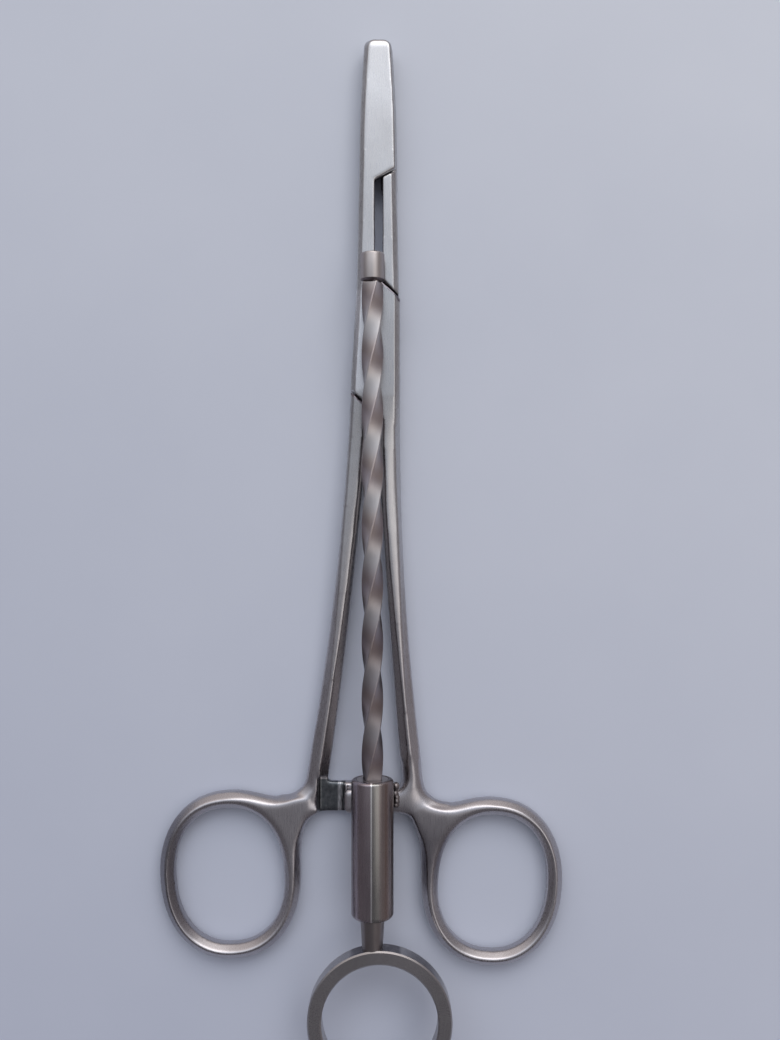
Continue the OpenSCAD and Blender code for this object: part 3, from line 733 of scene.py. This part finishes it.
def revolved(name, profile, axis_x, axis_z, closed, steps=96):
    """A profile of (radius, y) turned about an axis along Y: from axis to axis, or closed round a bore."""
    body = bmesh.new()
    rows = []
    for radius, y in profile:
        if radius < 1e-7:
            rows.append([body.verts.new((axis_x, y, axis_z))])
            continue
        turns = (math.tau * i / steps for i in range(steps))
        circle = ((axis_x + radius * math.cos(turn), y, axis_z + radius * math.sin(turn)) for turn in turns)
        rows.append([body.verts.new(point) for point in circle])
    pairs = list(zip(rows, rows[1:]))
    if closed:
        pairs.append((rows[-1], rows[0]))
    for near, back in pairs:
        for i in range(steps):
            k = (i + 1) % steps
            corners = [near[i % len(near)], near[k % len(near)], back[k % len(back)], back[i % len(back)]]
            body.faces.new(list(dict.fromkeys(corners)))
    bmesh.ops.recalc_face_normals(body, faces=body.faces)
    return made_piece(name, body)


def twisted_hole_nut(name, y_front, y_rear, x, z, outer, side, rings=24, per_side=16):
    """Round nut with the twisted bar's own square hole."""
    body = bmesh.new()
    half = side / 2
    count = per_side * 4
    walls = []
    for i in range(rings + 1):
        y = y_front + (y_rear - y_front) * i / rings
        turn = math.radians(TWIST_START) + math.tau * (HEAD_REAR_Y - y) / TWIST_PITCH
        inner, shell = [], []
        for j in range(count):
            a = math.tau * j / count
            reach = half / max(abs(math.cos(a)), abs(math.sin(a)))
            reach = min(reach, half * HOLE_CORNER)
            inner.append(body.verts.new((x + reach * math.cos(a + turn), y, z + reach * math.sin(a + turn))))
            shell.append(body.verts.new((x + outer * math.cos(a + turn), y, z + outer * math.sin(a + turn))))
        walls.append((inner, shell))
    for near, back in zip(walls, walls[1:]):
        for j in range(count):
            k = (j + 1) % count
            body.faces.new((near[0][j], near[0][k], back[0][k], back[0][j]))
            body.faces.new((near[1][k], near[1][j], back[1][j], back[1][k]))
    for inner, shell in (walls[0], walls[-1]):
        for j in range(count):
            k = (j + 1) % count
            body.faces.new((inner[j], shell[j], shell[k], inner[k]))
    bmesh.ops.recalc_face_normals(body, faces=body.faces)
    return made_piece(name, body, smooth=False)


def braze_bead(name):
    """Small lumps of braze that have run together in a row."""
    body = bmesh.new()
    for i in range(LUMPS):
        x = LUMP_AT[0] + LUMP_SWAY[0] * math.sin(2.9 * i * i)
        y = LUMP_AT[1] - LUMP_STEP * i
        z = LUMP_AT[2] + LUMP_SWAY[1] * math.cos(1.7 * i)
        radius = (LUMP_RADIUS[0] + LUMP_RADIUS[1] * math.sin(3.7 * i + 1)) * MM
        lump = bmesh.ops.create_icosphere(body, subdivisions=3, radius=radius)
        bmesh.ops.translate(body, vec=Vector((x, y, z)) * MM, verts=lump["verts"])
    piece = made_piece(name, body, smooth=False)
    voxel_skin(piece, LUMP_VOXEL)
    soft = piece.modifiers.new("soft", "SMOOTH")
    soft.iterations = 5
    settle(piece)
    smooth_shading(piece.data)
    return piece


# Camera, stage and light

def make_camera():
    data = bpy.data.cameras.new("camera")
    data.sensor_width = SENSOR_MM
    data.lens = SENSOR_MM * FOCAL_PX / PHOTO_LENGTH_PX
    data.clip_start = CLIP_START
    camera = bpy.data.objects.new("camera", data)
    bpy.context.scene.collection.objects.link(camera)
    camera.location = CAMERA_AT
    bpy.context.scene.camera = camera


def make_floor():
    bpy.ops.mesh.primitive_plane_add(size=FLOOR_SIZE, location=(0, 0, 0))
    floor = bpy.context.object
    floor.name = "floor"
    dressed(floor, paper())
    floor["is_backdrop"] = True


def make_window():
    data = bpy.data.lights.new("window", "AREA")
    data.shape = "RECTANGLE"
    data.size, data.size_y = WINDOW_SIZE
    data.energy = WINDOW_POWER
    data.color = WINDOW_COLOUR
    light = bpy.data.objects.new("window", data)
    bpy.context.scene.collection.objects.link(light)
    light.location = WINDOW_AT
    light.rotation_mode = "QUATERNION"
    light.rotation_quaternion = (Vector(WINDOW_TOWARD) - Vector(WINDOW_AT)).to_track_quat("-Z", "Y")


def share(angle):
    """Where a lean from the zenith, in degrees, lies on the ramp."""
    return (angle + 90) / 180


def make_world():
    """A room: bright window high beyond the jaw tip, dim above the pull ring, where the viewer stands."""
    world = bpy.data.worlds.new("room")
    bpy.context.scene.world = world
    world.use_nodes = True
    tree = world.node_tree
    tree.nodes.clear()
    output = tree.nodes.new("ShaderNodeOutputWorld")
    room = tree.nodes.new("ShaderNodeBackground")
    place = tree.nodes.new("ShaderNodeTexCoord")
    parts = tree.nodes.new("ShaderNodeSeparateXYZ")
    tree.links.new(place.outputs["Generated"], parts.inputs["Vector"])

    lean = add_node(tree, "ShaderNodeMath", operation="ARCTAN2")
    tree.links.new(parts.outputs["Y"], lean.inputs[0])
    tree.links.new(parts.outputs["Z"], lean.inputs[1])
    along = ramp(
        tree, spread(tree, lean.outputs["Value"], 0, 1, math.radians(-90), math.radians(90)),
        [(share(angle), colour) for angle, colour in LEAN_COLOURS],
    )
    across = ramp(tree, spread(tree, parts.outputs["X"], 0, 1, -1, 1), SIDE_COLOURS)

    left = spread(tree, parts.outputs["X"], 1, 0, -1.0, -0.5)
    right = spread(tree, parts.outputs["X"], 0, 1, 0.2, 0.85)
    weight = calc(tree, "MAXIMUM", left, right)
    walls = tinted(tree, along, across, weight)
    toward = add_node(tree, "ShaderNodeVectorMath", operation="DOT_PRODUCT")
    toward.inputs[1].default_value = Vector(LAMP_TOWARD).normalized()
    tree.links.new(place.outputs["Generated"], toward.inputs[0])
    edge, core = (math.cos(math.radians(angle)) for angle in LAMP_SPREAD)
    lamp = spread(tree, toward.outputs["Value"], 0, 1, edge, core)
    tree.links.new(tinted(tree, walls, LAMP_COLOUR, lamp), room.inputs["Color"])
    room.inputs["Strength"].default_value = ROOM_STRENGTH
    tree.links.new(room.outputs["Background"], output.inputs["Surface"])


make_camera()
make_floor()
make_world()
make_window()

satin = jaw_steel()
shaded = handle_steel()
nut_metal = nut_steel()
rod_metal = rod_steel()
head_metal = head_steel()
barrel_metal = barrel_steel()
bush_metal = bush_steel()
ring_metal = ring_steel()

for nodes, body in ((("female_member", "pivot_pin"), "frame"), (("male_member",), "second_handle")):
    crown = right_shank_crown if body == "frame" else left_shank_crown
    voxel = VOXELS[body]
    member = softened_copy(nodes[0] + "_steel", nodes, voxel, JOINTS[nodes[0]], crown)
    dressed(member, satin if body == "frame" else shaded)
    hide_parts(*nodes)
    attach(member, body)

low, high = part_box("barrel")
axis_x = (low.x + high.x) / 2
axis_z = (low.z + high.z) / 2
bar = dressed(twisted_bar("twisted_rod_bar", HEAD_REAR_Y, low.y, axis_x, axis_z, BAR_SIDE), rod_metal)
sleeve_radius = (high.x - low.x) / 2 - SLEEVE_INSET
sleeve = revolved("barrel_sleeve", [
    (BORE, low.y + BORE_CHAMFER), (BORE + BORE_CHAMFER, low.y),
    *arc(sleeve_radius - SLEEVE_REAR_ROUND, low.y + SLEEVE_REAR_ROUND, SLEEVE_REAR_ROUND, -90, 0, 7),
    *arc(sleeve_radius - SLEEVE_FRONT_ROUND, high.y - SLEEVE_FRONT_ROUND, SLEEVE_FRONT_ROUND, 0, 90, 7),
    (BORE + BORE_CHAMFER, high.y), (BORE, high.y - BORE_CHAMFER),
], axis_x, axis_z, closed=True, steps=128)
dressed(sleeve, barrel_metal)
nut = twisted_hole_nut(
    "twister_nut", high.y - NUT_SET_BACK, high.y - NUT_LENGTH, axis_x, axis_z,
    BORE - NUT_PLAY, BAR_SIDE + HOLE_PLAY,
)
dressed(nut, nut_metal)

head_low, head_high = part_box("rod_head")
head_radius = (head_high.x - head_low.x) / 2
head = revolved("rod_head_knob", [
    (0.0, head_low.y), (head_radius - HEAD_CHAMFER, head_low.y),
    *arc(head_radius - HEAD_CHAMFER_ROUND, head_low.y + HEAD_CHAMFER, HEAD_CHAMFER_ROUND, -45, 0, 3),
    *arc(head_radius - HEAD_FRONT_ROUND, head_high.y - HEAD_FRONT_ROUND, HEAD_FRONT_ROUND, 0, 90, 6),
    (0.0, head_high.y),
], axis_x, axis_z, closed=False)
dressed(head, head_metal)

bead = dressed(braze_bead("braze_bead"), bush_metal)

for piece, node, body in (
    (bar, "twisted_rod", "rod"), (sleeve, "barrel", "frame"),
    (nut, "helical_nut", "frame"), (head, "rod_head", "rod_carriage"),
):
    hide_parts(node)
    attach(piece, body)
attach(bead, "frame")

for node, material in (("rear_bush", bush_metal), ("neck", bush_metal), ("pull_ring", ring_metal)):
    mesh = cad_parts[node].data
    mesh.materials.clear()
    mesh.materials.append(material)

low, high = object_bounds()

bpy.context.scene.view_settings.view_transform = "Standard"
